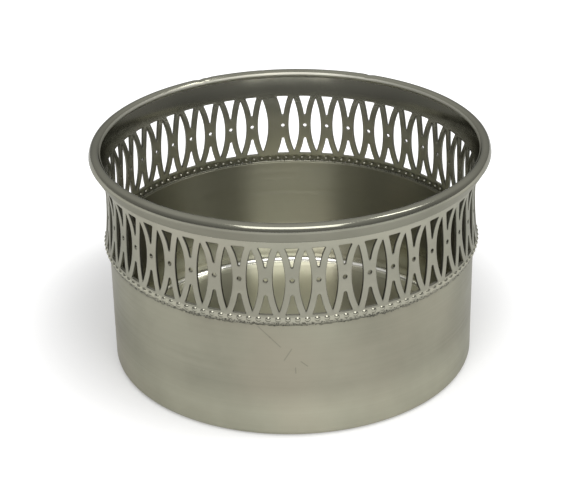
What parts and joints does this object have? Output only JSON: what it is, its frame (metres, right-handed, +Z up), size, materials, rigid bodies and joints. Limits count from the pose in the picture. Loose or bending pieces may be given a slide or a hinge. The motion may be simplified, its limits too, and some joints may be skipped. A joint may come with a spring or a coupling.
{
  "type": "wine bottle coaster",
  "caption": "Round metal bottle coaster: drawn cup, beaded border, pierced gallery that flares to a rounded rim, felt underneath.",
  "frame": {"origin": "centre of the felt's underside, on the table", "axes": "+Z up along the cup's axis, the pictured side faces -Y"},
  "size_m": [0.1188, 0.1188, 0.069],
  "materials": {
    "cup_metal": "worn satin, faint pinkish bloom",
    "border_metal": "worn satin",
    "gallery_metal": "worn satin",
    "rim_metal": "soft polish",
    "felt": "dense felt"
  },
  "bodies": {
    "root": {"cup": "cup_metal", "bead_border": "border_metal", "gallery": "gallery_metal", "rim": "rim_metal", "felt_pad": "felt"}
  },
  "joints": []
}
